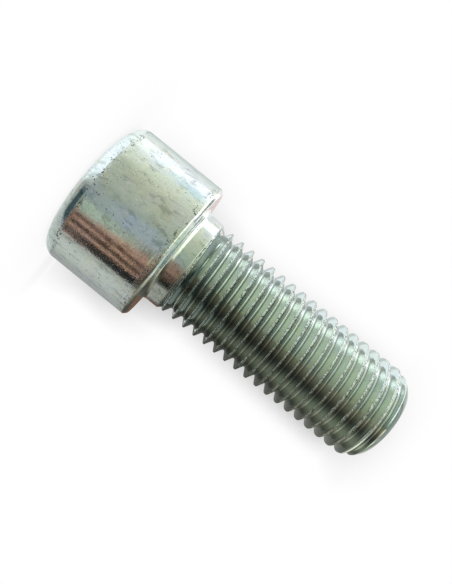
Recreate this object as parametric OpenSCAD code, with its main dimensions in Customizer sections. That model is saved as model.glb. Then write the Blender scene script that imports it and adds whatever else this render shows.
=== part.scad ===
// Hex socket cap screw, turned and thread-rolled from one piece of steel.
// The axis is Z. The bearing face under the head lies on z = 0, the head hangs
// below it with its socket opening downwards, and the shank rises to its point.

/* [Head] */
// Diameter across the head
head_d = 24; // [20:0.5:32]
// Height of the head, from its outer end to the bearing face
head_h = 16; // [13:0.5:22]
// Radius that rounds the head's outer edge
head_round = 2.1; // [0.6:0.1:3]
// Width of the small bevel round the bearing face
rim_bevel = 0.5; // [0.1:0.05:0.8]

/* [Socket] */
// Width of the hex socket across its flats
key_w = 14.1; // [8:0.1:15]
// Depth of the socket's flat walls
key_depth = 8; // [4:0.5:9]
// Ledge between the socket's flats and the drilled cone at its floor
drill_ledge = 0.25; // [0.1:0.05:1]
// Full angle of the drilled cone below the socket walls
drill_angle = 120; // [100:5:150]
// Width of the countersink at the socket's mouth, past the hex corners
mouth_bevel = 0.3; // [0.1:0.05:0.6]

/* [Neck] */
// Diameter of the plain neck under the head
neck_d = 16; // [15.9:0.1:18]
// Length of the plain neck, up to the first trace of thread
neck_l = 3; // [2:0.1:8]
// Radius of the fillet between neck and bearing face
neck_fillet = 0.85; // [0.2:0.05:1.2]

/* [Thread] */
// Length of the screw from the bearing face to the end of the point
length = 40; // [24:0.5:80]
// Diameter over the thread crests
thread_d = 15.8; // [14:0.05:15.85]
// Distance from one thread turn to the next
pitch = 2; // [1.25:0.05:2.5]
// Turn of the thread about the axis, in degrees
thread_turn = 19; // [0:1:359]
// Length over which the first groove sinks in from the neck
runout_l = 1.5; // [0.8:0.1:3]
// Diameter of the flat end at the point
point_d = 12.5; // [9:0.1:13]
// Length over which the thread rounds down to the flat end
point_l = 3.2; // [1:0.1:5]

/* [Smoothness] */
// Straight steps in one turn of the thread
thread_steps = 36; // [24:4:40]

/* [Hidden] */
$fn = 96;

// Zinc plated steel
zinc = [0.76, 0.77, 0.75];

// The thread is the rolled metric form: flanks at 60 degrees, a flat crest an
// eighth of the pitch wide, and a root that is a sixth of the pitch wide.
crest_w = pitch / 8;
root_w = pitch / 6;
flank_angle = 30;
thread_depth = (pitch - crest_w - root_w) / 2 / tan(flank_angle);
crest_r = thread_d / 2;
root_r = crest_r - thread_depth;

// Each corner of one turn: its place along the pitch, then its radius
corners = [
    [-crest_w / 2, crest_r],
    [crest_w / 2, crest_r],
    [(pitch - root_w) / 2, root_r],
    [(pitch + root_w) / 2, root_r],
];

// Turns that are enough to pass both ends of the threaded length
first_turn = floor(neck_l / pitch) - 2;
last_turn = ceil(length / pitch) + 1;

// Radius to the corners of the hex socket, and the drilled cone at its floor
hex_half_angle = 30;
key_corner_r = key_w / 2 / cos(hex_half_angle);
drill_r = key_w / 2 - drill_ledge;
drill_depth = drill_r / tan(drill_angle / 2);

// Radius of the arc that rounds the point, tangent to the thread crests
point_drop = crest_r - point_d / 2;
point_round = (point_drop * point_drop + point_l * point_l) / (2 * point_drop);

// Overlap that carries a cut past the face it opens, or a piece into the next
overlap = 1;

// The countersink runs at 45 degrees from its rim to well inside the flats
mouth_r = key_corner_r + mouth_bevel;
mouth_depth = mouth_r - key_w / 2 + overlap;

// Thread corners closer than this to an end of the thread are left out, and
// so are crossings within this share of a line's end
end_gap = 0.02;
end_share = 0.02;

// Radius that the rounded point allows at height z
function point_r(z) =
    let (past = max(0, z - length + point_l))
        crest_r - point_round + sqrt(max(0, point_round * point_round - past * past));

// Radius that the first groove keeps at height z, while it sinks in
function runout_r(z) = crest_r - (z - neck_l) * thread_depth / runout_l;

// Radius of a corner held between the run-out and the rounded point
function held_r(p) = min(point_r(p[0]), max(runout_r(p[0]), p[1]));

// Point on the line from p to q that lies the share s along it
function between(p, q, s) = p + s * (q - p);

// Share of the way along a line at which its gap to a slope, gp at the start
// and gq at the end, comes to nothing
function meeting(gp, gq) =
    let (s = gp == gq ? 0 : gp / (gp - gq))
        s > end_share && s < 1 - end_share ? [s] : [];

// Places from p to q where the thread form meets the run-out or the point
function breaks(p, q) = concat(
    meeting(p[1] - runout_r(p[0]), q[1] - runout_r(q[0])),
    meeting(p[1] - point_r(p[0]), q[1] - point_r(q[0]))
);

// The full thread form on one line along the shank, as [height, radius]
function form_line(i) = [
    for (turn = [first_turn:last_turn])
        for (c = corners)
            [pitch * (turn + i / thread_steps - thread_turn / 360) + c[0], c[1]]
];

// Points of a line that lie between the neck and the end of the point
function kept(line) = [
    for (k = [0:len(line) - 2])
        let (
            p = line[k],
            q = line[k + 1],
            cuts = breaks(p, q),
            order = len(cuts) == 2 && cuts[0] > cuts[1] ? [cuts[1], cuts[0]] : cuts
        )
            for (s = concat([0], order))
                let (m = between(p, q, s))
                    if (m[0] > neck_l + end_gap && m[0] < length - end_gap) [m[0], held_r(m)]
];

// One finished line of the threaded shank, with its two end points
function shank_line(i) = concat(
    [[neck_l, crest_r]],
    kept(form_line(i)),
    [[length, point_d / 2]]
);

// Running total of the numbers in a list, starting from nought
function totals(list) = [
    for (k = 0, sum = 0; k <= len(list); sum = sum + (k < len(list) ? list[k] : 0), k = k + 1) sum
];

// Triangles that join two neighbouring lines, always stepping up the lower one
function strip(a, b, a0, b0) = [
    for (
        i = 0, j = 0, up = a[1][0] <= b[1][0];
        i + j < len(a) + len(b) - 2;
        i = i + (up ? 1 : 0),
        j = j + (up ? 0 : 1),
        up = j == len(b) - 1 || (i < len(a) - 1 && a[i + 1][0] <= b[j + 1][0])
    )
        up ? [a0 + i, a0 + i + 1, b0 + j] : [a0 + i, b0 + j + 1, b0 + j]
];

// Threaded shank from the neck to the end of the point
module threaded_shank() {
    lines = [for (i = [0:thread_steps - 1]) shank_line(i)];
    starts = totals([for (l = lines) len(l)]);
    points = [
        for (i = [0:thread_steps - 1])
            let (a = 360 * i / thread_steps)
                for (p = lines[i]) [p[1] * cos(a), p[1] * sin(a), p[0]]
    ];
    sides = [
        for (i = [0:thread_steps - 1])
            let (n = (i + 1) % thread_steps)
                each strip(lines[i], lines[n], starts[i], starts[n])
    ];
    neck_end = [for (i = [0:thread_steps - 1]) starts[i]];
    point_end = [for (i = [thread_steps - 1:-1:0]) starts[i + 1] - 1];
    polyhedron(points, concat([neck_end], sides, [point_end]));
}

// Half section of the head, with the round outer edge and the bevelled rim
module head_section() {
    difference() {
        union() {
            translate([0, -head_h]) square([head_d / 2 - head_round, head_h]);
            translate([0, head_round - head_h]) square([head_d / 2, head_h - head_round]);
            translate([head_d / 2 - head_round, head_round - head_h]) circle(head_round);
        }
        polygon([
            [head_d / 2 - rim_bevel, 0],
            [head_d / 2 + overlap, rim_bevel + overlap],
            [head_d / 2 + overlap, -rim_bevel - overlap],
            [head_d / 2, -rim_bevel],
        ]);
    }
}

// Half section of the neck, with the fillet that meets the bearing face
module neck_section() {
    translate([0, -overlap]) square([neck_d / 2, neck_l + overlap]);
    difference() {
        square([neck_d / 2 + neck_fillet, neck_fillet]);
        translate([neck_d / 2 + neck_fillet, neck_fillet]) circle(neck_fillet);
    }
}

// Hex socket with its countersunk mouth and the cone left by the drill
module key_socket() {
    translate([0, 0, -head_h - overlap]) cylinder(h = key_depth + overlap, r = key_corner_r, $fn = 6);
    translate([0, 0, key_depth - head_h]) cylinder(h = drill_depth, r1 = drill_r, r2 = 0);
    translate([0, 0, -head_h]) cylinder(h = mouth_depth, r1 = mouth_r, r2 = mouth_r - mouth_depth);
}

// The whole screw
module cap_screw() {
    color(zinc) union() {
        difference() {
            rotate_extrude() head_section();
            key_socket();
        }
        rotate_extrude() neck_section();
        threaded_shank();
    }
}

cap_screw();
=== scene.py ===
import math

import bmesh
import bpy
from mathutils import Matrix, Vector, noise


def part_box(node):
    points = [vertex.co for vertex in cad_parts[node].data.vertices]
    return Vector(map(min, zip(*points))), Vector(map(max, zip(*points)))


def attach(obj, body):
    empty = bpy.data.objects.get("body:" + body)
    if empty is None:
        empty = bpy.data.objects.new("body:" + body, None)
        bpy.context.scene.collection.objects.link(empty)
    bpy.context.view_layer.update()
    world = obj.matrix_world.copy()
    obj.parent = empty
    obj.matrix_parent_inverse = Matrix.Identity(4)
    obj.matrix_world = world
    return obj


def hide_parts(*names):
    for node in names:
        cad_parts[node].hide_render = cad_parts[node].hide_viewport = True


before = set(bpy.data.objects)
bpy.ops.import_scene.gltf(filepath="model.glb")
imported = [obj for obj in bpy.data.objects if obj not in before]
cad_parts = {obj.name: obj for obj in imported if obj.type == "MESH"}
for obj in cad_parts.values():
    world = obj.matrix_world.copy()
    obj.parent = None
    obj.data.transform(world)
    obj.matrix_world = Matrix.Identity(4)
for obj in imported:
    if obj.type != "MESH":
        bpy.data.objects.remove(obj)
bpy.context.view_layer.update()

# Sizes of the screw in millimetres, worked out from the frame where it has them
MM = 0.001
screw_low, screw_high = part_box("cap_screw")
HEAD_R = screw_high.x / MM
HEAD_END = screw_low.z / MM
TIP = screw_high.z / MM
HEAD_ROUND = 2.1
RIM_BEVEL = 0.5
KEY_W = 14.1
KEY_DEPTH = 8.0
DRILL_R = 6.8
DRILL_HALF_ANGLE = 60
MOUTH_R = 8.44
NECK_R = 8.0
NECK_L = 3.0
NECK_FILLET = 0.85
PITCH = 2.0
CREST_R = 7.9
CREST_W = PITCH / 8
ROOT_W = PITCH / 6
FLANK_ANGLE = 30
THREAD_DEPTH = (PITCH - CREST_W - ROOT_W) / 2 / math.tan(math.radians(FLANK_ANGLE))
ROOT_R = CREST_R - THREAD_DEPTH
THREAD_TURN = 19
RUNOUT_L = 1.5
POINT_R = 6.25
POINT_L = 3.2
POINT_RIM = 0.1
POINT_DROP = CREST_R - POINT_R
POINT_ROUND = (POINT_DROP ** 2 + POINT_L ** 2) / (2 * POINT_DROP)

# How far the small roundings reach along the lines that meet in them
RIM_ROUND = 0.12
BEARING_ROUND = 0.08
SHOULDER_ROUND = 0.09
POINT_EDGE_ROUND = 0.06

# Smoothness: straight steps round the screw, and arcs in the outlines
SECTORS = 6
AROUND = 180
ARC_STEPS = 3
SMALL_STEPS = 2
FILLET_STEPS = 8
ROUND_STEPS = 14
WELD = 0.001


# Outlines and turned shapes

def outline(bm, corners):
    """A line in the XZ plane. A corner is its radius, its height and how far its rounding reaches."""
    verts = [bm.verts.new((r * MM, 0, z * MM)) for r, z, _, _ in corners]
    for pair in zip(verts, verts[1:]):
        bm.edges.new(pair)
    for vert, (_, _, reach, steps) in zip(verts, corners):
        if reach:
            bmesh.ops.bevel(
                bm, geom=[vert], offset=reach * MM, offset_type="OFFSET", segments=steps,
                profile=0.5, affect="VERTICES", material=-1,
            )


def turned(corners):
    """The outline through the corners, turned once about the screw's axis."""
    bm = bmesh.new()
    outline(bm, corners)
    bmesh.ops.spin(
        bm, geom=bm.verts[:] + bm.edges[:], cent=(0, 0, 0), axis=(0, 0, 1),
        angle=math.tau, steps=AROUND, use_merge=True,
    )
    return bm


def head_and_neck():
    """Outside of the head, from the rim of the socket's mouth to the end of the plain neck."""
    return turned([
        (MOUTH_R, HEAD_END, 0, 0),
        (HEAD_R, HEAD_END, HEAD_ROUND, ROUND_STEPS),
        (HEAD_R, -RIM_BEVEL, RIM_ROUND, SMALL_STEPS),
        (HEAD_R - RIM_BEVEL, 0, BEARING_ROUND, SMALL_STEPS),
        (NECK_R, 0, NECK_FILLET, FILLET_STEPS),
        (NECK_R, NECK_L, SHOULDER_ROUND, ARC_STEPS),
        (CREST_R, NECK_L, 0, 0),
    ])


def point_end():
    """Flat end of the point, with its small rounded rim."""
    return turned([
        (point_r(TIP - POINT_RIM), TIP - POINT_RIM, 0, 0),
        (POINT_R, TIP, POINT_EDGE_ROUND, ARC_STEPS),
        (0, TIP, 0, 0),
    ])


# Socket

# How far the countersink's cone runs past the flats before they cut it
CONE_PAST = 0.2


def key_socket():
    """Countersunk hex socket: one sixth is cut and pulled to depth, then repeated round the axis."""
    bm = bmesh.new()
    flat_x = KEY_W / 2
    cone_r = flat_x - CONE_PAST
    start = -math.pi / SECTORS
    rim = [
        bm.verts.new(Vector((math.cos(start) * r, math.sin(start) * r, HEAD_END + MOUTH_R - r)) * MM)
        for r in (MOUTH_R, cone_r)
    ]
    cone = bm.edges.new(rim)
    bmesh.ops.spin(
        bm, geom=rim + [cone], cent=(0, 0, 0), axis=(0, 0, 1),
        angle=math.tau / SECTORS, steps=AROUND // SECTORS,
    )
    cut = bmesh.ops.bisect_plane(
        bm, geom=bm.verts[:] + bm.edges[:] + bm.faces[:], dist=WELD * MM,
        plane_co=(flat_x * MM, 0, 0), plane_no=(1, 0, 0), clear_inner=True,
    )
    edge = [e for e in cut["geom_cut"] if isinstance(e, bmesh.types.BMEdge)]
    floor_z = HEAD_END + KEY_DEPTH
    edge = pulled(bm, edge, lambda co: Vector((co.x, co.y, floor_z * MM)))
    for r in (DRILL_R, DRILL_R / 2, 0):
        depth = (DRILL_R - r) / math.tan(math.radians(DRILL_HALF_ANGLE))
        edge = pulled(bm, edge, lambda co: ringed(co, r, floor_z + depth))
    sixth = bm.verts[:] + bm.edges[:] + bm.faces[:]
    for turn in range(1, SECTORS):
        copy = bmesh.ops.duplicate(bm, geom=sixth)["geom"]
        bmesh.ops.rotate(
            bm, verts=[v for v in copy if isinstance(v, bmesh.types.BMVert)],
            cent=(0, 0, 0), matrix=Matrix.Rotation(turn * math.tau / SECTORS, 3, "Z"),
        )
    half_sector = Matrix.Rotation(math.pi / SECTORS, 3, "Z")
    bmesh.ops.rotate(bm, verts=bm.verts, cent=(0, 0, 0), matrix=half_sector)
    return bm


def pulled(bm, edges, place):
    """The edges extruded, with each new vertex moved to its place. Gives the new edges."""
    made = bmesh.ops.extrude_edge_only(bm, edges=edges)["geom"]
    for vert in made:
        if isinstance(vert, bmesh.types.BMVert):
            vert.co = place(vert.co)
    return [e for e in made if isinstance(e, bmesh.types.BMEdge)]


def ringed(co, r, z):
    """A point moved straight out or in to radius r, at height z."""
    flat = Vector((co.x, co.y, 0)).normalized() * r * MM
    return Vector((flat.x, flat.y, z * MM))


# Thread

# The crest is sunk along a seam where the rolled metal met. Its edges and the root are rounded.
SEAM_DEPTH = 0.03
SEAM_W = CREST_W / 4
SEAM_ROUND = 0.02
CREST_ROUND_AHEAD = 0.05
CREST_ROUND_BEHIND = 0.1
ROOT_ROUND = ROOT_W * 0.49

# Lines of the thread form longer than this are flanks, and they are cut for finer steps
FLANK_LEAST = PITCH / 3
FLANK_CUTS = 2

# Nicks along the crest: the band they lie in, their depth and size, and how rare they are
NICK_BAND = 0.2
NICK_DEPTH = 0.09
NICK_SIZE = 0.35
NICK_START = 0.12

# Length over which one limit of the thread gives way softly to the next
BLEND = 0.05


def point_r(z):
    """Radius that the rounded point allows at height z."""
    past = min(max(0, z - TIP + POINT_L), POINT_ROUND)
    return CREST_R - POINT_ROUND + math.sqrt(POINT_ROUND ** 2 - past ** 2)


def runout_r(z):
    """Radius that the first groove keeps at height z, while it sinks in."""
    return CREST_R - (z - NECK_L) * THREAD_DEPTH / RUNOUT_L


def soft_least(a, b):
    """The lesser of two sizes, with a soft change from one to the other."""
    near = max(0, BLEND - abs(a - b)) / BLEND
    return min(a, b) - near * near * BLEND / 4


def rolled(co):
    """Place of a thread point, held between the run-out and the point, with nicks along the crest."""
    z = min(max(co.z / MM, NECK_L), TIP - POINT_RIM)
    r = math.hypot(co.x, co.y) / MM
    crest = max(0, 1 - (CREST_R - r) / NICK_BAND)
    rough = noise.noise(co / MM / NICK_SIZE) - NICK_START
    inside = min(1, (z - NECK_L) / BLEND, (TIP - POINT_RIM - z) / BLEND)
    r -= NICK_DEPTH * crest * max(0, rough) * max(0, inside)
    r = max(r, runout_r(z)) if z < NECK_L + 2 * RUNOUT_L else r
    r = soft_least(r, point_r(z)) if z < TIP - POINT_RIM else point_r(z)
    return ringed(co, r, z)


def rolled_thread():
    """Right-hand thread from the neck to the point: one turn is spun as a screw and then repeated."""
    bm = bmesh.new()
    first = math.floor(NECK_L / PITCH) - 2
    last = math.ceil(TIP / PITCH) + 1
    start = PITCH * (first - THREAD_TURN / 360)
    root = (PITCH - ROOT_W) / 2
    outline(bm, [(r, z + start, reach, steps) for r, z, reach, steps in [
        (CREST_R - SEAM_DEPTH, 0, 0, 0),
        (CREST_R, SEAM_W, SEAM_ROUND, 1),
        (CREST_R, CREST_W / 2, CREST_ROUND_AHEAD, SMALL_STEPS),
        (ROOT_R, root, ROOT_ROUND, ARC_STEPS),
        (ROOT_R, PITCH - root, ROOT_ROUND, ARC_STEPS),
        (CREST_R, PITCH - CREST_W / 2, CREST_ROUND_BEHIND, ARC_STEPS),
        (CREST_R - SEAM_DEPTH, PITCH, 0, 0),
    ]])
    flanks = [e for e in bm.edges if e.calc_length() > FLANK_LEAST * MM]
    bmesh.ops.subdivide_edges(bm, edges=flanks, cuts=FLANK_CUTS)
    bmesh.ops.spin(
        bm, geom=bm.verts[:] + bm.edges[:], cent=(0, 0, 0), axis=(0, 0, 1),
        dvec=(0, 0, PITCH * MM / AROUND), angle=math.tau, steps=AROUND,
    )
    one_turn = bm.verts[:] + bm.edges[:] + bm.faces[:]
    for turn in range(1, last - first + 1):
        copy = bmesh.ops.duplicate(bm, geom=one_turn)["geom"]
        bmesh.ops.translate(
            bm, verts=[v for v in copy if isinstance(v, bmesh.types.BMVert)], vec=(0, 0, turn * PITCH * MM)
        )
    for vert in bm.verts:
        vert.co = rolled(vert.co)
    return bm


# Materials: sockets and nodes

def add(tree, kind, inputs=None, **settings):
    """A new node with its settings. Its inputs are set to a value or linked to another node's output."""
    node = tree.nodes.new(kind)
    for name, value in settings.items():
        setattr(node, name, value)
    for key, value in (inputs or {}).items():
        if isinstance(value, bpy.types.NodeSocket):
            tree.links.new(value, node.inputs[key])
        else:
            node.inputs[key].default_value = value
    return node


def maths(tree, operation, *values):
    """Output of a Math node."""
    return add(tree, "ShaderNodeMath", dict(enumerate(values)), operation=operation).outputs[0]


def shifted(tree, place, by):
    """A place moved by a vector."""
    return add(tree, "ShaderNodeVectorMath", {0: place, 1: by}, operation="ADD").outputs[0]


def stretched(tree, place, by):
    """A place stretched by a share along each axis."""
    return add(tree, "ShaderNodeVectorMath", {0: place, 1: by}, operation="MULTIPLY").outputs[0]


def scaled(tree, vector, by):
    """A vector or a colour times one number."""
    return add(tree, "ShaderNodeVectorMath", {0: vector, 3: by}, operation="SCALE").outputs[0]


def ranged(tree, value, low, high, to_low=0.0, to_high=1.0):
    """Output of a Map Range node with smooth ends."""
    return add(
        tree, "ShaderNodeMapRange",
        {"Value": value, "From Min": low, "From Max": high, "To Min": to_low, "To Max": to_high},
        interpolation_type="SMOOTHSTEP",
    ).outputs[0]


def mixed(tree, share, first, second):
    """Output of a colour Mix node."""
    return add(tree, "ShaderNodeMix", {0: share, 6: first, 7: second}, data_type="RGBA").outputs[2]


def use(tree, group, inputs):
    """Output of a node that places a group."""
    return add(tree, "ShaderNodeGroup", inputs, node_tree=group).outputs[0]


def grey(value):
    """An even grey."""
    return (value, value, value, 1)


def new_group(name, inputs, outputs):
    """An empty shader node group, with its ends."""
    group = bpy.data.node_groups.new(name, "ShaderNodeTree")
    for socket, kind in inputs:
        group.interface.new_socket(socket, in_out="INPUT", socket_type="NodeSocket" + kind)
    for socket, kind in outputs:
        group.interface.new_socket(socket, in_out="OUTPUT", socket_type="NodeSocket" + kind)
    return group, group.nodes.new("NodeGroupInput"), group.nodes.new("NodeGroupOutput")


# Materials: effects that more than one of them uses. Counts are per metre, and reaches in metres.

RAG_COUNT = 5000
RAG_REACH = 0.0003
RARITY = 2.0
PIT_EDGE = (-0.10, 0.03)
BEND_COUNT = 420
BEND_REACH = 0.0016
STROKE_STRETCH = (1, 1, 0.4)
STROKE_START = 0.72
STROKE_SPREAD = 0.3
STROKE_EDGE = (-0.03, 0.16)
CLOUD_COUNT = 260
CLOUD_EDGE = (0.42, 0.62)
STAIN_COUNT = 700
STAIN_EDGE = (0.5, 0.75)


def pits_group():
    """Small ragged pits of mixed sizes, as a mask that is 1 inside a pit."""
    group, ends, out = new_group(
        "plating pits",
        [("Vector", "Vector"), ("Pits per metre", "Float"), ("Size", "Float")],
        [("Mask", "Float")],
    )
    ragged = add(group, "ShaderNodeTexNoise", {
        "Vector": ends.outputs["Vector"], "Scale": RAG_COUNT, "Detail": 3, "Roughness": 0.7,
    })
    place = shifted(group, ends.outputs["Vector"], scaled(group, ragged.outputs["Color"], RAG_REACH))
    cells = add(group, "ShaderNodeTexVoronoi", {"Vector": place, "Scale": ends.outputs["Pits per metre"]})
    luck = add(group, "ShaderNodeSeparateColor", {0: cells.outputs["Color"]}).outputs[0]
    size = maths(group, "MULTIPLY", maths(group, "POWER", luck, RARITY), ends.outputs["Size"])
    edge = maths(group, "SUBTRACT", cells.outputs["Distance"], size)
    group.links.new(ranged(group, edge, *PIT_EDGE, 1, 0), out.inputs[0])
    return group


def grain_group():
    """Fine satin grain of the plating, from 0 to 1."""
    group, ends, out = new_group(
        "satin grain",
        [("Vector", "Vector"), ("Grains per metre", "Float"), ("Stretch", "Vector")],
        [("Height", "Float")],
    )
    fine = add(group, "ShaderNodeTexNoise", {
        "Vector": stretched(group, ends.outputs["Vector"], ends.outputs["Stretch"]),
        "Scale": ends.outputs["Grains per metre"], "Detail": 3, "Roughness": 0.65,
    })
    group.links.new(fine.outputs[0], out.inputs[0])
    return group


def marks_group():
    """Handling marks: a mask of short dull strokes that lie mostly along the screw."""
    group, ends, out = new_group(
        "handling marks",
        [("Vector", "Vector"), ("Marks per metre", "Float"), ("Share", "Float")],
        [("Mask", "Float")],
    )
    bent = add(group, "ShaderNodeTexNoise", {
        "Vector": ends.outputs["Vector"], "Scale": BEND_COUNT, "Detail": 1,
    })
    place = shifted(group, ends.outputs["Vector"], scaled(group, bent.outputs["Color"], BEND_REACH))
    strokes = add(group, "ShaderNodeTexNoise", {
        "Vector": stretched(group, place, STROKE_STRETCH),
        "Scale": ends.outputs["Marks per metre"], "Detail": 4, "Roughness": 0.6,
    })
    spread = maths(group, "MULTIPLY", ends.outputs["Share"], STROKE_SPREAD)
    over = maths(group, "SUBTRACT", strokes.outputs[0], maths(group, "SUBTRACT", STROKE_START, spread))
    group.links.new(ranged(group, over, *STROKE_EDGE), out.inputs[0])
    return group


def tint_group():
    """Slow change of the plating's tint, from greenish to bluish and straw."""
    group, ends, out = new_group(
        "plating tint",
        [("Vector", "Vector"), ("Green", "Color"), ("Blue", "Color"), ("Straw", "Color")],
        [("Color", "Color")],
    )
    clouds = add(group, "ShaderNodeTexNoise", {
        "Vector": ends.outputs["Vector"], "Scale": CLOUD_COUNT, "Detail": 3,
    })
    stains = add(group, "ShaderNodeTexNoise", {
        "Vector": ends.outputs["Vector"], "Scale": STAIN_COUNT, "Detail": 4, "Distortion": 0.6,
    })
    bluish = mixed(
        group, ranged(group, clouds.outputs[0], *CLOUD_EDGE), ends.outputs["Green"], ends.outputs["Blue"]
    )
    straw = mixed(group, ranged(group, stains.outputs[0], *STAIN_EDGE), bluish, ends.outputs["Straw"])
    group.links.new(straw, out.inputs[0])
    return group


PITS = pits_group()
GRAIN = grain_group()
MARKS = marks_group()
TINT = tint_group()

# Tints of the plating on the head and in the socket, and deeper ones on the thread
ZINC_GREEN = (0.74, 0.80, 0.74, 1)
ZINC_BLUE = (0.73, 0.78, 0.80, 1)
ZINC_STRAW = (0.80, 0.80, 0.70, 1)
DEEP_GREEN = (0.70, 0.77, 0.72, 1)
DEEP_BLUE = (0.69, 0.76, 0.76, 1)
DEEP_STRAW = (0.75, 0.79, 0.67, 1)
# The dark that dark strokes and painted shade mix to, and the pale that pale strokes and the painted
# highlight mix to
DARK_MARK_AND_PAINTED_SHADE = (0.20, 0.24, 0.21, 1)
PALE_MARK_AND_PAINTED_HIGHLIGHT = (0.92, 0.94, 0.90, 1)

# Grain that isn't stretched
EVEN = (1, 1, 1)

# Pits: those that lie everywhere, and those that crowd together in worn places
PIT_DARK = (0.14, 0.16, 0.15, 1)
PIT_DEPTH = 0.01
PIT_ROUGH = 0.2
SMALL_PITS = 2200
CROWDED_PITS = 4200
CROWDED_SIZE = 1.0
CLUMPS = 1100
CLUMP_EDGE = 0.12
SPECKLES = 3800

# Strokes, dark ones and pale ones that lie at places of their own
DARK_STROKES = 1100
DARK_STRENGTH = 0.45
PALE_STROKES = 1500
PALE_STRENGTH = 0.5
PALE_PLACE = (0.05, 0.02, 0.03)

# The finest grain also greys the metal and makes it rougher
GRAIN_EDGE = (0.4, 0.65)
GRAIN_GREY = 0.25
GRAIN_SHARE = 0.14
GRAIN_ROUGH = 0.06

# Worn bands in millimetres: heights over the head's end and over the bearing face, each with
# its soft reach, and distances in from the crests. The socket's wear is a share instead.
ROUND_BAND = (2.0, 2.4, 0.4)
RIM_BAND = (-1.3, -0.7, 0.3)
CREST_BAND = (0.12, 0.01)
SOCKET_WEAR = (0.3, 0.5)

# How deep the painted shade is on the thread's flanks that face the point, in its roots and on its
# crests. The flanks towards the point and the crests' edges towards the head, which get a painted
# highlight, are told by how far they face up; roots and crests by a distance from them.
PAINTED_SHADE_STRENGTH = 0.86
ROOT_PAINTED_SHADE = 0.55
CREST_PAINTED_SHADE = 0.6
POINTWARD = (0.50, 0.90, 0.2)
HEADWARD = (-0.4, -0.1)
ROOT_REACH = (0.08, 0.2)
CREST_REACH = (0.12, 0.04)


def radius_of(tree, place):
    """Distance of the surface from the screw's axis, and its height along it."""
    apart = add(tree, "ShaderNodeSeparateXYZ", {0: place})
    flat = add(tree, "ShaderNodeCombineXYZ", {0: apart.outputs[0], 1: apart.outputs[1]})
    length = add(tree, "ShaderNodeVectorMath", {0: flat.outputs[0]}, operation="LENGTH")
    return length.outputs["Value"], apart.outputs[2]


def between(tree, value, low, high, soft):
    """A mask that is 1 while the value lies between low and high."""
    return maths(
        tree, "MULTIPLY", ranged(tree, value, low - soft, low), ranged(tree, value, high, high + soft, 1, 0)
    )


def head_wear(tree, radius, height):
    """Pits gather where the head's round edge begins, and beside the bearing rim."""
    low, high, soft = ROUND_BAND
    edge = between(tree, height, (HEAD_END + low) * MM, (HEAD_END + high) * MM, soft * MM)
    low, high, soft = RIM_BAND
    rim = between(tree, height, low * MM, high * MM, soft * MM)
    return maths(tree, "MAXIMUM", edge, rim)


def crest_wear(tree, radius, height):
    """The thread crests are rough where the rolled metal met."""
    low, high = CREST_BAND
    return ranged(tree, radius, (CREST_R - low) * MM, (CREST_R - high) * MM)


def even_wear(tree, radius, height):
    """Pits lie thinly all over."""
    return ranged(tree, radius, 0, HEAD_R * MM, *SOCKET_WEAR)


def no_painted_light(tree, facing, radius):
    """No painted shade and no painted highlight on any side of the surface."""
    return 0.0, 0.0


def thread_painted_shade_and_highlight(tree, facing, radius):
    """Painted shade on the thread's flanks that face the point, and less of it in the roots
    and on the crests.

    A painted highlight lies along the crests' edge towards the head. Gives the painted shade's
    share and the painted highlight's.
    """
    # Painted shade on the flanks that face the point
    flank_painted_shade = between(tree, facing, *POINTWARD)
    # Painted shade in the roots, fading out up the flanks
    low, high = ROOT_REACH
    root = ranged(tree, radius, (ROOT_R + low) * MM, (ROOT_R + high) * MM, ROOT_PAINTED_SHADE, 0)
    # Painted shade on the crests' tops, and a painted highlight on their edges towards the head
    low, high = CREST_REACH
    crest = ranged(tree, radius, (CREST_R - low) * MM, (CREST_R - high) * MM)
    flat = maths(tree, "MULTIPLY", crest, ranged(tree, facing, *HEADWARD, 0, CREST_PAINTED_SHADE))
    edge = maths(tree, "MULTIPLY", crest, ranged(tree, facing, *HEADWARD, 1, 0))
    return maths(tree, "MAXIMUM", maths(tree, "MAXIMUM", flank_painted_shade, root), flat), edge


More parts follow.
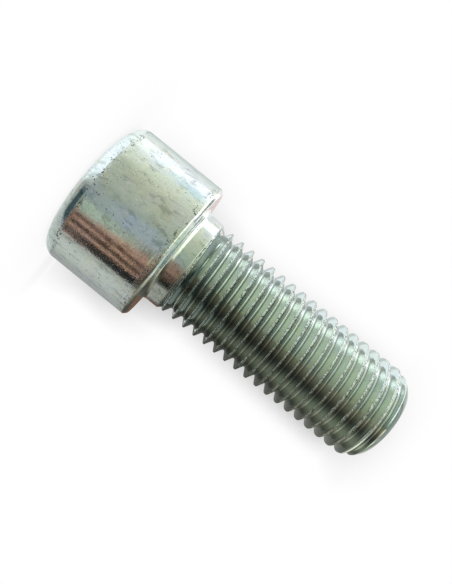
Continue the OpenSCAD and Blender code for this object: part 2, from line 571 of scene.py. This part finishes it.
def zinc(name, tints, roughness, layers, worn, pit_size, clean, marks, wear, sides):
    """Zinc plated steel.

    A layer of relief is its grains per metre, their stretch and its height in millimetres, from
    coarse to fine. Worn places add the height worn, and a higher value of clean leaves more of
    them without pits. Sides gives the painted shade and the painted highlight by the way the
    surface faces.
    """
    material = bpy.data.materials.new(name)
    material.use_nodes = True
    tree = material.node_tree
    shader = tree.nodes["Principled BSDF"]
    shader.inputs["Metallic"].default_value = 1
    coordinates = add(tree, "ShaderNodeTexCoord").outputs
    place = coordinates["Object"]
    facing = add(tree, "ShaderNodeSeparateXYZ", {0: coordinates["Normal"]}).outputs[2]
    radius, height = radius_of(tree, place)
    tint = use(tree, TINT, {"Vector": place, "Green": tints[0], "Blue": tints[1], "Straw": tints[2]})
    relief = 0.0
    for count, along, high in layers:
        fine = use(tree, GRAIN, {"Vector": place, "Grains per metre": count, "Stretch": along})
        relief = maths(tree, "MULTIPLY_ADD", fine, high, relief)
    speckle, clumps = [
        use(tree, GRAIN, {"Vector": place, "Grains per metre": count, "Stretch": EVEN})
        for count in (SPECKLES, CLUMPS)
    ]
    gathered = wear(tree, radius, height)
    crowded = maths(tree, "MULTIPLY", gathered, ranged(tree, clumps, clean, clean + CLUMP_EDGE))
    small = use(tree, PITS, {"Vector": place, "Pits per metre": SMALL_PITS, "Size": pit_size})
    crowd = use(tree, PITS, {"Vector": place, "Pits per metre": CROWDED_PITS, "Size": CROWDED_SIZE})
    pits = maths(tree, "MAXIMUM", small, maths(tree, "MULTIPLY", crowd, crowded))
    dark = use(tree, MARKS, {"Vector": place, "Marks per metre": DARK_STROKES, "Share": marks})
    elsewhere = shifted(tree, place, PALE_PLACE)
    pale = use(tree, MARKS, {"Vector": elsewhere, "Marks per metre": PALE_STROKES, "Share": marks})
    # Painted shade and painted highlight, by the way each place faces
    painted_shade, painted_highlight = sides(tree, facing, radius)
    # The pale share: pale strokes and the painted highlight
    pale = maths(tree, "MAXIMUM", maths(tree, "MULTIPLY", pale, PALE_STRENGTH), painted_highlight)
    tint = mixed(tree, pale, tint, PALE_MARK_AND_PAINTED_HIGHLIGHT)
    # The dark share: dark strokes and the painted shade
    dull = maths(
        tree, "MAXIMUM", maths(tree, "MULTIPLY", dark, DARK_STRENGTH),
        maths(tree, "MULTIPLY", painted_shade, PAINTED_SHADE_STRENGTH),
    )
    greyer = mixed(tree, GRAIN_SHARE, tint, grey(GRAIN_GREY))
    grainy = mixed(tree, ranged(tree, fine, *GRAIN_EDGE), tint, greyer)
    colour = mixed(tree, pits, mixed(tree, dull, grainy, DARK_MARK_AND_PAINTED_SHADE), PIT_DARK)
    tree.links.new(colour, shader.inputs["Base Color"])
    rough = ranged(tree, fine, *GRAIN_EDGE, roughness, roughness + GRAIN_ROUGH)
    rough = maths(tree, "MULTIPLY_ADD", pits, PIT_ROUGH, rough)
    tree.links.new(rough, shader.inputs["Roughness"])
    relief = maths(tree, "MULTIPLY_ADD", maths(tree, "MULTIPLY", speckle, gathered), worn, relief)
    relief = maths(tree, "SUBTRACT", relief, maths(tree, "MULTIPLY", pits, PIT_DEPTH))
    bump = add(tree, "ShaderNodeBump", {"Height": relief, "Distance": MM, "Strength": 1.0})
    tree.links.new(bump.outputs[0], shader.inputs["Normal"])
    return material


PALE_TINTS = (ZINC_GREEN, ZINC_BLUE, ZINC_STRAW)
DEEP_TINTS = (DEEP_GREEN, DEEP_BLUE, DEEP_STRAW)
satin_head = zinc(
    "zinc_satin_head", PALE_TINTS, 0.08,
    layers=[(900, (1, 1, 0.7), 0.016), (2400, (1, 1, 1.3), 0.010), (3600, EVEN, 0.004)],
    worn=0.02, pit_size=0.27, clean=0.43, marks=0.62, wear=head_wear, sides=no_painted_light,
)
rolled_zinc = zinc(
    "zinc_rolled_thread", DEEP_TINTS, 0.09,
    layers=[(900, (1, 1, 0.7), 0.004), (2400, EVEN, 0.004), (3600, EVEN, 0.003)],
    worn=0.12, pit_size=0.14, clean=0.38, marks=0.3, wear=crest_wear, sides=thread_painted_shade_and_highlight,
)
forged_zinc = zinc(
    "zinc_forged_socket", PALE_TINTS, 0.24,
    layers=[(900, (1, 1, 0.7), 0.02), (3600, (1, 1, 0.25), 0.01)],
    worn=0.01, pit_size=0.35, clean=0.42, marks=0.6, wear=even_wear, sides=no_painted_light,
)


# The finished piece

# Edges sharper than this, in degrees, keep their line
SHARP_ANGLE = 50


def joined(parts):
    """The parts as one closed bmesh. Each part is a bmesh and the number of its material."""
    whole = bmesh.new()
    for part, material in parts:
        for face in part.faces:
            face.material_index = material
            face.smooth = True
        mesh = bpy.data.meshes.new("part")
        part.to_mesh(mesh)
        part.free()
        whole.from_mesh(mesh)
        bpy.data.meshes.remove(mesh)
    bmesh.ops.remove_doubles(whole, verts=whole.verts, dist=WELD * MM)
    bmesh.ops.dissolve_degenerate(whole, edges=whole.edges, dist=WELD * MM / 2)
    bmesh.ops.recalc_face_normals(whole, faces=whole.faces)
    return whole


def piece(name, bm, materials):
    """An object at the origin, which attach then sets on the screw's body."""
    mesh = bpy.data.meshes.new(name)
    bm.to_mesh(mesh)
    bm.free()
    mesh.set_sharp_from_angle(angle=math.radians(SHARP_ANGLE))
    for material in materials:
        mesh.materials.append(material)
    obj = bpy.data.objects.new(name, mesh)
    bpy.context.scene.collection.objects.link(obj)
    flats = obj.modifiers.new("even flats", "WEIGHTED_NORMAL")
    flats.keep_sharp = True
    return obj


shapes = [(head_and_neck(), 0), (rolled_thread(), 1), (point_end(), 1), (key_socket(), 2)]
screw = piece("zinc_cap_screw", joined(shapes), [satin_head, rolled_zinc, forged_zinc])
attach(screw, "root")
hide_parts("cap_screw")


# Floor and backboard

FLOOR_SIZE = 900
BOARD_GAP = 0.05

# How far the screw's shade reaches, in millimetres: by the head's end, by the point, how much
# further past the point, starting just before it, and how much further at the foot, up to its
# height
SHADOW_REACH = 10.4
POINT_REACH = 6.8
PAST_REACH = 3.5
PAST_START = TIP - 1
FOOT_REACH = 1.8
FOOT_H = 6

# How the shade fades, and how deep it is on the floor, at the floor's back and on the board
SHADOW_CURVE = 1.3
FLOOR_SHADOW = 0.12
FOOT_SHADOW = 0.6
BOARD_SHADOW = 1.05
FLOOR_FRONT = -2
DEEPENS_FROM = 0.2
SHADOW_SAMPLES = 16

# Where the shade is looked for from the floor and from the board. A half of each way and a half
# more make a colour, so that the two can be mixed.
FLOOR_WAY = (0.5, 0.5, 1, 1)
BOARD_WAY = (0.29, 0.05, 0.5, 1)

lean = (CREST_R - HEAD_R) / (TIP - POINT_L)
board_foot = HEAD_R + lean * HEAD_END + BOARD_GAP
board_top = board_foot + lean * FLOOR_SIZE / 4
side = FLOOR_SIZE / 2


def parts_of(tree):
    """The three parts of a place on the stage, X, Y and Z."""
    place = add(tree, "ShaderNodeTexCoord").outputs["Object"]
    return add(tree, "ShaderNodeSeparateXYZ", {0: place}).outputs


def steady(tree, value, start, end, low, high):
    """Output of a straight Map Range node, from a height in millimetres."""
    return add(tree, "ShaderNodeMapRange", {
        "Value": value, "From Min": start * MM, "From Max": end * MM, "To Min": low, "To Max": high,
    }).outputs[0]


def sheet_of(name, corners, material):
    """A flat sheet for the stage."""
    bm = bmesh.new()
    bm.faces.new([bm.verts.new(Vector(c) * MM) for c in corners])
    mesh = bpy.data.meshes.new(name)
    bm.to_mesh(mesh)
    bm.free()
    mesh.materials.append(material)
    obj = bpy.data.objects.new(name, mesh)
    obj.visible_shadow = False
    bpy.context.scene.collection.objects.link(obj)


def stage_white(name, front, deepest):
    """White paper that darkens softly where the screw is near. The metal doesn't show it.

    From the place named front to the backboard's foot the shade grows to the deepest one, so
    that the two sheets meet without a line.
    """
    material = bpy.data.materials.new(name)
    material.use_nodes = True
    tree = material.node_tree
    tree.nodes.clear()
    apart = parts_of(tree)
    upright = ranged(tree, apart[1], front * MM, board_foot * MM)
    beside = steady(tree, apart[2], HEAD_END, TIP, SHADOW_REACH, POINT_REACH)
    beyond = steady(tree, apart[2], PAST_START, TIP + POINT_L, 0, PAST_REACH)
    foot = steady(tree, apart[2], HEAD_END, HEAD_END + FOOT_H, FOOT_REACH, 0)
    reach = maths(tree, "MULTIPLY", maths(tree, "ADD", maths(tree, "ADD", beside, beyond), foot), MM)
    way = add(
        tree, "ShaderNodeVectorMath",
        {0: mixed(tree, upright, FLOOR_WAY, BOARD_WAY), 1: (2, 2, 2), 2: (-1, -1, -1)},
        operation="MULTIPLY_ADD",
    ).outputs[0]
    near = add(
        tree, "ShaderNodeAmbientOcclusion", {"Distance": reach, "Normal": way}, samples=SHADOW_SAMPLES
    )
    hidden = maths(tree, "SUBTRACT", 1.0, near.outputs["AO"])
    depth = ranged(tree, upright, DEEPENS_FROM, 1, FLOOR_SHADOW, deepest)
    shadow = maths(tree, "MULTIPLY", maths(tree, "POWER", hidden, SHADOW_CURVE), depth)
    white = mixed(tree, shadow, grey(1), grey(0))
    paper = add(tree, "ShaderNodeEmission", {"Color": white, "Strength": 1.0}).outputs[0]
    clear = add(tree, "ShaderNodeBsdfTransparent").outputs[0]
    light = add(tree, "ShaderNodeLightPath").outputs
    behind = add(tree, "ShaderNodeNewGeometry").outputs["Backfacing"]
    gone = maths(tree, "MAXIMUM", light["Is Glossy Ray"], behind)
    surface = add(tree, "ShaderNodeMixShader", {0: gone, 1: paper, 2: clear}).outputs[0]
    tree.links.new(surface, add(tree, "ShaderNodeOutputMaterial").inputs[0])
    return material


sheet_of(
    "floor",
    [(-side, -side, HEAD_END), (side, -side, HEAD_END), (side, side, HEAD_END), (-side, side, HEAD_END)],
    stage_white("floor_white", FLOOR_FRONT, FOOT_SHADOW),
)
sheet_of(
    "backboard",
    [
        (-side, board_foot, HEAD_END), (side, board_foot, HEAD_END),
        (side, board_top, HEAD_END + FLOOR_SIZE / 4), (-side, board_top, HEAD_END + FLOOR_SIZE / 4),
    ],
    stage_white("board_white", -FLOOR_SIZE, BOARD_SHADOW),
)


# Surroundings: what the bright metal reflects, by direction round the screw

BESIDE_HEAD = [
    (-180, (0.55, 0.59, 0.57)),
    (-150, (0.70, 0.77, 0.76)),
    (-134, (0.94, 1.02, 1.02)),
    (-118, (1.32, 1.36, 1.38)),
    (-110, (1.34, 1.36, 1.38)),
    (-99, (1.30, 1.36, 1.36)),
    (-90, (1.02, 1.08, 1.02)),
    (-80, (0.88, 0.94, 0.82)),
    (-64, (0.74, 0.77, 0.64)),
    (-46, (0.57, 0.58, 0.47)),
    (-20, (0.48, 0.52, 0.42)),
    (-8, (0.36, 0.42, 0.38)),
    (14, (0.36, 0.42, 0.40)),
    (24, (0.35, 0.40, 0.34)),
    (60, (0.35, 0.38, 0.34)),
    (82, (0.46, 0.47, 0.45)),
    (94, (0.60, 0.63, 0.61)),
    (114, (0.59, 0.61, 0.60)),
    (132, (0.44, 0.46, 0.46)),
    (179, (0.34, 0.34, 0.34)),
]
BESIDE_THREAD = [
    (-180, (0.80, 0.80, 0.80)),
    (-148, (1.12, 1.02, 1.08)),
    (-121, (1.15, 1.12, 1.12)),
    (-104, (2.20, 2.20, 2.20)),
    (-95, (1.75, 1.76, 1.74)),
    (-87, (1.08, 1.11, 1.03)),
    (-76, (0.84, 0.87, 0.76)),
    (-55, (0.74, 0.80, 0.66)),
    (-30, (0.67, 0.75, 0.62)),
    (-12, (0.47, 0.54, 0.43)),
    (4, (0.34, 0.37, 0.28)),
    (21, (0.29, 0.25, 0.19)),
    (31, (0.19, 0.165, 0.12)),
    (42, (0.10, 0.085, 0.065)),
    (52, (0.05, 0.045, 0.04)),
    (62, (0.065, 0.066, 0.054)),
    (73, (0.13, 0.135, 0.11)),
    (86, (0.27, 0.27, 0.22)),
    (100, (0.33, 0.325, 0.255)),
    (116, (0.20, 0.195, 0.15)),
    (134, (0.07, 0.07, 0.06)),
    (179, (0.12, 0.12, 0.11)),
]
BELOW_SCREW = [
    (-180, (0.9, 0.95, 0.97)),
    (-100, (1.25, 1.33, 1.36)),
    (-24, (1.15, 1.25, 1.28)),
    (-8, (0.60, 0.66, 0.62)),
    (4, (0.30, 0.34, 0.34)),
    (12, (0.05, 0.09, 0.11)),
    (66, (0.05, 0.09, 0.11)),
    (78, (0.50, 0.55, 0.54)),
    (179, (0.75, 0.80, 0.80)),
]
ABOVE_SCREW = [
    (-180, (0.95, 1.00, 0.98)),
    (-124, (1.15, 1.20, 1.18)),
    (-112, (1.60, 1.63, 1.63)),
    (-92, (1.90, 1.95, 1.88)),
    (-60, (1.92, 2.02, 1.66)),
    (-36, (1.75, 1.84, 1.46)),
    (-14, (1.38, 1.39, 1.08)),
    (3, (1.12, 1.08, 0.80)),
    (21, (1.10, 0.95, 0.70)),
    (32, (0.75, 0.66, 0.50)),
    (42, (0.46, 0.44, 0.35)),
    (54, (0.50, 0.51, 0.42)),
    (79, (1.40, 1.43, 1.15)),
    (116, (1.10, 1.10, 0.90)),
    (140, (0.65, 0.66, 0.55)),
    (179, (0.95, 1.00, 0.98)),
]


def turn_of(tree, apart):
    """Degrees round the screw from the camera's side, from the parts of a place or a direction."""
    turn = maths(tree, "ARCTAN2", apart[0], maths(tree, "MULTIPLY", apart[1], -1.0))
    return maths(tree, "DEGREES", turn)


def ring_of_colours(tree, turn, stops):
    """Colour ramp once round the screw. A stop is its angle from the camera's side, and its colour."""
    share = maths(tree, "ADD", maths(tree, "DIVIDE", turn, 360.0), 0.5)
    ramp = add(tree, "ShaderNodeValToRGB", {0: share})
    elements = ramp.color_ramp.elements
    while len(elements) < len(stops):
        elements.new(0.5)
    for element, (angle, _) in zip(elements, stops):
        element.position = (angle + 180) / 360
    for element, (_, colour) in zip(elements, stops):
        element.color = (*colour, 1)
    return ramp.outputs[0]


# Cards that stand round the screw: the edges of each in degrees from the camera's side, its
# lower and upper edge as the upward share of the direction, its softness, lean and colour
BOARD_LEAN = 120
CRISP = (1.2, 0.02)
SOFT = (2, 0.02)
BLURRED = (5, 0.02)
FADED = (14, 0.04)
CARDS = [
    ((-56, -6), (-0.30, -0.215), FADED, 0, (0.33, 0.36, 0.27)),
    ((-97, -88), (-0.11, -0.06), BLURRED, 0, (0.74, 0.95, 1.06)),
    ((-6, 15), (-0.16, -0.07), SOFT, 0, (0.40, 0.46, 0.53)),
    ((20, 34), (-0.30, -0.14), SOFT, 0, (0.45, 0.55, 0.46)),
    ((27, 66), (-0.30, -0.06), SOFT, BOARD_LEAN, (0.50, 0.30, 0.22)),
    ((40.5, 45.5), (-0.30, -0.03), CRISP, 0, (0.13, 0.07, 0.055)),
    ((52, 57), (-0.30, -0.03), CRISP, 0, (0.05, 0.03, 0.025)),
    ((65, 76), (-0.30, -0.17), SOFT, 0, (0.19, 0.12, 0.09)),
    ((64, 77), (-0.17, -0.03), SOFT, 0, (0.02, 0.02, 0.02)),
    ((15, 38), (-0.05, 0.00), BLURRED, 0, (0.27, 0.16, 0.12)),
    ((44, 56), (-0.05, 0.00), SOFT, 0, (0.11, 0.07, 0.05)),
    ((58, 71), (-0.05, 0.00), SOFT, 0, (0.0, 0.0, 0.0)),
    ((78, 130), (-0.05, -0.01), SOFT, 0, (0.37, 0.38, 0.33)),
    ((-182, -174), (-0.03, 0.12), SOFT, 0, (0.75, 0.62, 0.60)),
    ((140, 182), (-0.03, 0.12), SOFT, 0, (0.17, 0.09, 0.055)),
    ((-42, 4), (0.03, 0.09), FADED, 0, (0.31, 0.43, 0.32)),
]
CARD_BASE = -0.09

# No card stands at the open views, so there the metal shows the white background
OPEN_VIEWS = [((-134, -124), (-0.20, 0.30)), ((-170, -134), (0.06, 0.30))]
OPEN_SOFT = (3, 0.06)

# A card low on the dark side, a dark one that the head's rim shows, and less light high up
LOW_CARD = ((4, 72), (-1.2, -0.88), (8, 0.12), 0, (0.42, 0.42, 0.40))
RIM_CARD = ((-188, -177), (0.52, 0.86), (3, 0.03), -70, (0.26, 0.30, 0.29))
HIGH_RISE = (0.79, 0.86)
HIGH_DIM = 0.4

# Straight up hangs a pale card, with a bright gap round it
GAP_RISE = (0.86, 0.89)
CARD_RISE = (0.91, 0.94)
GAP_WHITE = (1.0, 1.0, 0.95, 1)
TOP_CARD = (0.60, 0.72, 0.68, 1)

# Between which rises the colours beside the thread grow, and by how much
BRIGHTER = (0.03, 0.20)
BRIGHTER_BY = 2.0

# Between which rises one ring of colours gives way to the next
HEAD_TO_THREAD = (-0.05, 0.0)
LEVEL_TO_BELOW = (-0.205, -0.32)
LEVEL_TO_ABOVE = (0.36, 0.50)

# The dark flag's sides in degrees from the camera's side, and its ends in millimetres. Seen
# from the thread, a place on it lies further round than it does from the screw's axis.
FLAG_SIDES = (8, 190)
FLAG_ENDS = (2.5, 48)
FLAG_R = 24
FLAG_NEARNESS = 0.85
FLAG_SOFT = 8
FLAG_STEPS = 45

# From one height to the other, in millimetres, the flag's colours grow by these shares
FLAG_LIGHTER = (18, 40, 1.0, 2.2)


def within(tree, turn, rise, sides, ends, softness):
    """A mask of the directions between two sides and two ends."""
    across = between(tree, turn, *sides, softness[0])
    up = between(tree, rise, *ends, softness[1])
    return maths(tree, "MULTIPLY", across, up)


def card(tree, under, turn, rise, sides, ends, softness, lean, colour):
    """What lies under, with a card laid over it."""
    leaning = maths(tree, "MULTIPLY", maths(tree, "SUBTRACT", rise, CARD_BASE), lean)
    shape = within(tree, maths(tree, "ADD", turn, leaning), rise, sides, ends, softness)
    return mixed(tree, shape, under, (*colour, 1))


def surroundings():
    """World that is white to the camera and a studio with window, cards and dark gaps to the metal."""
    world = bpy.data.worlds.new("studio")
    world.use_nodes = True
    tree = world.node_tree
    tree.nodes.clear()
    way = add(tree, "ShaderNodeTexCoord").outputs["Generated"]
    apart = add(tree, "ShaderNodeSeparateXYZ", {0: way}).outputs
    rise = apart[2]
    turn = turn_of(tree, apart)
    head, thread, below, above = [
        ring_of_colours(tree, turn, stops)
        for stops in (BESIDE_HEAD, BESIDE_THREAD, BELOW_SCREW, ABOVE_SCREW)
    ]
    thread = scaled(tree, thread, ranged(tree, rise, *BRIGHTER, 1, BRIGHTER_BY))
    level = mixed(tree, ranged(tree, rise, *HEAD_TO_THREAD), head, thread)
    for sizes in CARDS:
        level = card(tree, level, turn, rise, *sizes)
    below = card(tree, below, turn, rise, *LOW_CARD)
    lower = mixed(tree, ranged(tree, rise, *LEVEL_TO_BELOW), level, below)
    above = scaled(tree, above, ranged(tree, rise, *HIGH_RISE, 1, HIGH_DIM))
    colour = mixed(tree, ranged(tree, rise, *LEVEL_TO_ABOVE), lower, above)
    colour = card(tree, colour, turn, rise, *RIM_CARD)
    colour = mixed(tree, ranged(tree, rise, *GAP_RISE), colour, GAP_WHITE)
    colour = mixed(tree, ranged(tree, rise, *CARD_RISE), colour, TOP_CARD)
    light = add(tree, "ShaderNodeLightPath").outputs
    white = maths(tree, "MAXIMUM", light["Is Camera Ray"], light["Is Transmission Ray"])
    for sides, ends in OPEN_VIEWS:
        view = within(tree, turn, rise, sides, ends, OPEN_SOFT)
        white = maths(tree, "MAXIMUM", white, maths(tree, "MULTIPLY", view, light["Is Glossy Ray"]))
    seen = mixed(tree, white, colour, grey(1))
    back = add(tree, "ShaderNodeBackground", {"Color": seen, "Strength": 1.0})
    tree.links.new(back.outputs[0], add(tree, "ShaderNodeOutputWorld").inputs[0])
    bpy.context.scene.world = world


def dark_flag():
    """A curved dark card close to the thread's lower side. Only the metal shows it."""
    bm = bmesh.new()
    start, end = [math.radians(angle * FLAG_NEARNESS) for angle in FLAG_SIDES]
    foot = Vector((math.sin(start), -math.cos(start), 0)) * FLAG_R
    ends = [bm.verts.new((foot + Vector((0, 0, z))) * MM) for z in FLAG_ENDS]
    edge = bm.edges.new(ends)
    bmesh.ops.spin(
        bm, geom=ends + [edge], cent=(0, 0, 0), axis=(0, 0, 1), angle=end - start, steps=FLAG_STEPS
    )
    mesh = bpy.data.meshes.new("dark flag")
    bm.to_mesh(mesh)
    bm.free()
    material = bpy.data.materials.new("dark_flag")
    material.use_nodes = True
    tree = material.node_tree
    tree.nodes.clear()
    apart = parts_of(tree)
    turn = maths(tree, "DIVIDE", turn_of(tree, apart), FLAG_NEARNESS)
    colours = ring_of_colours(tree, turn, BESIDE_THREAD)
    colours = scaled(tree, colours, steady(tree, apart[2], *FLAG_LIGHTER))
    card_light = add(tree, "ShaderNodeEmission", {"Color": colours, "Strength": 1.0}).outputs[0]
    clear = add(tree, "ShaderNodeBsdfTransparent").outputs[0]
    shows = add(tree, "ShaderNodeLightPath").outputs["Is Glossy Ray"]
    shows = maths(tree, "MULTIPLY", shows, ranged(tree, turn, FLAG_SIDES[0], FLAG_SIDES[0] + FLAG_SOFT))
    surface = add(tree, "ShaderNodeMixShader", {0: shows, 1: clear, 2: card_light}).outputs[0]
    tree.links.new(surface, add(tree, "ShaderNodeOutputMaterial").inputs[0])
    mesh.materials.append(material)
    obj = bpy.data.objects.new("dark flag", mesh)
    obj.visible_shadow = False
    bpy.context.scene.collection.objects.link(obj)


surroundings()
dark_flag()


# Camera at the photograph's angle: level, in front of the screw, and rolled

FRAME_W = 452
FRAME_H = 584
SENSOR = 36
CAMERA_Y = -97.54
CAMERA_Z = 4.89
ROLL = math.radians(39.185)
FOCAL = 641.0
CENTRE_X = 200.15
CENTRE_Y = 274.36

# The farthest that the camera shows, in metres
FARTHEST = 10


def photo_camera():
    """Camera whose lens, place and centre are those measured in the photograph, in its pixels."""
    data = bpy.data.cameras.new("camera")
    data.sensor_width = SENSOR
    data.lens = FOCAL * SENSOR / FRAME_H
    data.shift_x = (FRAME_W / 2 - CENTRE_X) / FRAME_H
    data.shift_y = (CENTRE_Y - FRAME_H / 2) / FRAME_H
    data.clip_start = MM
    data.clip_end = FARTHEST
    right = Vector((-math.sin(ROLL), 0, math.cos(ROLL)))
    up = Vector((-math.cos(ROLL), 0, -math.sin(ROLL)))
    turn = Matrix((right, up, right.cross(up))).transposed().to_4x4()
    obj = bpy.data.objects.new("camera", data)
    obj.matrix_world = Matrix.Translation((0, CAMERA_Y * MM, CAMERA_Z * MM)) @ turn
    bpy.context.scene.collection.objects.link(obj)
    bpy.context.scene.camera = obj


photo_camera()
bpy.context.scene.view_settings.view_transform = "Standard"
